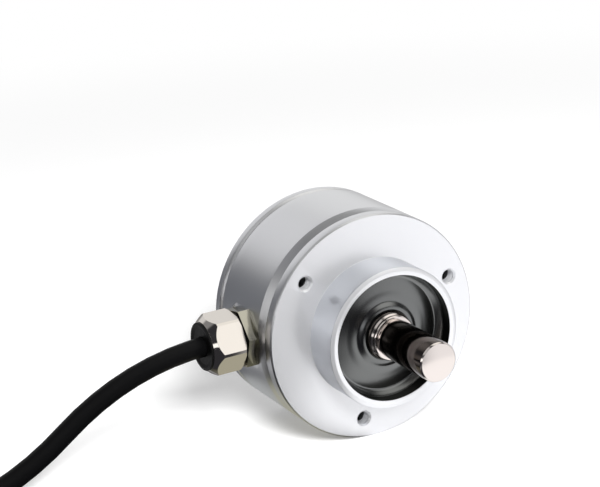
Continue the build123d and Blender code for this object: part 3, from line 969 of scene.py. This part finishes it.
# Studio: what reflections see, as smooth patches of brightness by direction. Each patch is its
# direction, the angles in degrees up to which it is full and where it ends, and its colour.
WHITE = (1, 1, 1, 1)
STUDIO_BASE = (0.03, 0.03, 0.035)
STUDIO = [
    ((-0.50, 0.80, -0.10), 20, 55, (0.12, 0.125, 0.14)),
    ((0.30, 0.50, 0.80), 22, 45, (0.25, 0.25, 0.25)),
    ((0.45, 0.85, 0.25), 16, 33, (0.80, 0.80, 0.80)),
    ((-0.10, 0.87, 0.42), 11, 29, (0.72, 0.72, 0.73)),
    ((-0.90, 0.40, 0.10), 15, 30, (0.62, 0.62, 0.62)),
    ((0.55, 0.80, -0.30), 5, 42, (0.46, 0.46, 0.46)),
    ((0.67, -0.74, -0.30), 16, 30, (0.93, 0.93, 0.95)),
    ((0.44, -0.72, 0.54), 13, 24, (1.1, 1.09, 1.07)),
    ((-0.50, -0.84, 0.05), 9, 24, (1.0, 1.0, 1.03)),
    ((0.35, -0.10, 0.93), 18, 34, (0.97, 0.96, 0.93)),
    ((-0.81, -0.58, 0.04), 8, 12, (1.3, 1.3, 1.3)),
    ((-0.45, -0.53, 0.72), 14, 26, (0.5, 0.5, 0.5)),
    ((0.93, 0.20, 0.12), 26, 40, (0.68, 0.68, 0.69)),
    ((-0.52, 0.50, 0.69), 12, 22, (0.24, 0.24, 0.25)),
]
# Painted spots of light and shade that reflections see on the floor near the object: centre, full and end
# radius in millimetres, and colour
FLOOR_PAINTED_SPOTS = [
    ((34, -66), 28, 40, (1.1, 1.1, 1.11)),
    ((26, -40), 24, 36, (1.0, 1.0, 1.01)),
    ((8, -20), 16, 28, (0.98, 0.98, 0.99)),
    ((-24, 14), 10, 26, (0.42, 0.41, 0.33)),
    ((-15, 35), 8, 20, (0.45, 0.46, 0.46)),
    ((-52, 54), 12, 28, (0.42, 0.42, 0.43)),
    ((-95, 85), 35, 55, (0.50, 0.50, 0.51)),
]


def smooth_step(tree, value, start, full):
    """Goes softly from 0 to 1 while the value goes from start to full."""
    share = tree.nodes.new("ShaderNodeMapRange")
    share.interpolation_type = "SMOOTHSTEP"
    share.inputs["From Min"].default_value = start
    share.inputs["From Max"].default_value = full
    tree.links.new(value, share.inputs["Value"])
    return share.outputs["Result"]


def add_patch(tree, total, value, start, full, colour):
    """Raises the light to a colour where the value goes from start to full."""
    patch = tree.nodes.new("ShaderNodeVectorMath")
    patch.operation = "SCALE"
    patch.inputs[0].default_value = colour
    tree.links.new(smooth_step(tree, value, start, full), patch.inputs["Scale"])
    return calc_vector(tree, "MAXIMUM", total, patch.outputs["Vector"])


def studio_colour(tree, direction):
    """The lightest of the studio's patches in a direction."""
    total = STUDIO_BASE
    for centre, full, end, colour in STUDIO:
        near = calc_vector(tree, "DOT_PRODUCT", direction, Vector(centre).normalized())
        total = add_patch(tree, total, near, cos(radians(end)), cos(radians(full)), colour)
    return total


def light(tree, kind, colour, strength=1.0):
    """An Emission or Background shader."""
    node = tree.nodes.new(kind)
    feed(tree, node.inputs["Color"], colour)
    feed(tree, node.inputs["Strength"], strength)
    return node.outputs[0]


def rays(tree, kind):
    """1 for rays of a kind, and 0 for the others."""
    return tree.nodes.new("ShaderNodeLightPath").outputs[kind]


def blend_shaders(tree, share, first, second):
    """The first shader where the share is 0, and the second where it is 1."""
    mix = tree.nodes.new("ShaderNodeMixShader")
    tree.links.new(share, mix.inputs["Fac"])
    tree.links.new(first, mix.inputs[1])
    tree.links.new(second, mix.inputs[2])
    return mix.outputs["Shader"]


# Floor: plain white under the lamp. In reflections it glows with the studio in the direction of each
# of its points, a little below the horizon, and with its painted spots of light and shade. Sizes here are
# in metres.
FLOOR_SIZE = 8
FLOOR_SHIFT = (0.01, -0.02, 0)
FLOOR_DIP = (0, 0, -0.33)
FLOOR_LIFT = 0.15
BACKDROP_START = 0.25
BACKDROP_FULL = 0.5

bpy.ops.mesh.primitive_plane_add(size=FLOOR_SIZE, location=(0, 0, FLOOR * MM))
floor = bpy.context.object
floor.name = "floor"
floor_mat, tree, floor_bsdf = shader("floor")
floor.data.materials.append(floor_mat)
floor_bsdf.inputs["Base Color"].default_value = (0.9, 0.9, 0.9, 1)
floor_bsdf.inputs["Roughness"].default_value = 0.9
floor_bsdf.inputs["Specular IOR Level"].default_value = 0
point = tree.nodes.new("ShaderNodeNewGeometry").outputs["Position"]
level = calc_vector(tree, "MULTIPLY_ADD", point, (1, 1, 0), FLOOR_SHIFT)
dipped = calc_vector(tree, "ADD", calc_vector(tree, "NORMALIZE", level), FLOOR_DIP)
floor_glow_colour = studio_colour(tree, calc_vector(tree, "NORMALIZE", dipped))
# Painted spots of light and shade, seen only in reflections
for centre, full, end, colour in FLOOR_PAINTED_SPOTS:
    distance = calc_vector(tree, "DISTANCE", point, Vector((*centre, FLOOR)) * MM)
    floor_glow_colour = add_patch(tree, floor_glow_colour, distance, end * MM, full * MM, colour)
# The camera sees the floor a little lighter than it is lit, and white far from the object
lift = calc(tree, "MULTIPLY", rays(tree, "Is Camera Ray"), FLOOR_LIFT)
lit = tree.nodes.new("ShaderNodeAddShader")
tree.links.new(floor_bsdf.outputs["BSDF"], lit.inputs[0])
tree.links.new(light(tree, "ShaderNodeEmission", WHITE, lift), lit.inputs[1])
far = smooth_step(tree, calc_vector(tree, "LENGTH", point), BACKDROP_START, BACKDROP_FULL)
far_seen = calc(tree, "MULTIPLY", far, rays(tree, "Is Camera Ray"))
far_white = light(tree, "ShaderNodeEmission", WHITE)
plain = blend_shaders(tree, far_seen, lit.outputs["Shader"], far_white)
glow = light(tree, "ShaderNodeEmission", floor_glow_colour)
floor_surface = blend_shaders(tree, rays(tree, "Is Glossy Ray"), plain, glow)
tree.links.new(floor_surface, tree.nodes["Material Output"].inputs["Surface"])

# World: white to the camera, soft grey light on the object, and the studio in reflections
world = bpy.data.worlds.new("world")
bpy.context.scene.world = world
world.use_nodes = True
tree = world.node_tree
tree.nodes.clear()
direction = tree.nodes.new("ShaderNodeTexCoord").outputs["Generated"]
studio = light(tree, "ShaderNodeBackground", studio_colour(tree, direction))
soft = light(tree, "ShaderNodeBackground", (0.5, 0.5, 0.5, 1))
white = light(tree, "ShaderNodeBackground", WHITE)
plain = blend_shaders(tree, rays(tree, "Is Camera Ray"), soft, white)
world_surface = blend_shaders(tree, rays(tree, "Is Glossy Ray"), plain, studio)
output = tree.nodes.new("ShaderNodeOutputWorld")
tree.links.new(world_surface, output.inputs["Surface"])

# Lamp: one soft light from the upper left in front, which reflections don't show
LAMP_PLACE = (-0.18, -0.63, 0.46)
LAMP_SIZE = 0.25
LAMP_POWER = 11

lamp_data = bpy.data.lights.new("key", "AREA")
lamp_data.shape = "RECTANGLE"
lamp_data.size = LAMP_SIZE
lamp_data.size_y = LAMP_SIZE
lamp_data.energy = LAMP_POWER
lamp = bpy.data.objects.new("key", lamp_data)
bpy.context.scene.collection.objects.link(lamp)
lamp.location = LAMP_PLACE
lamp.rotation_euler = (-Vector(LAMP_PLACE)).to_track_quat("-Z", "Y").to_euler()
lamp.visible_glossy = False

bpy.context.scene.view_settings.view_transform = "Standard"
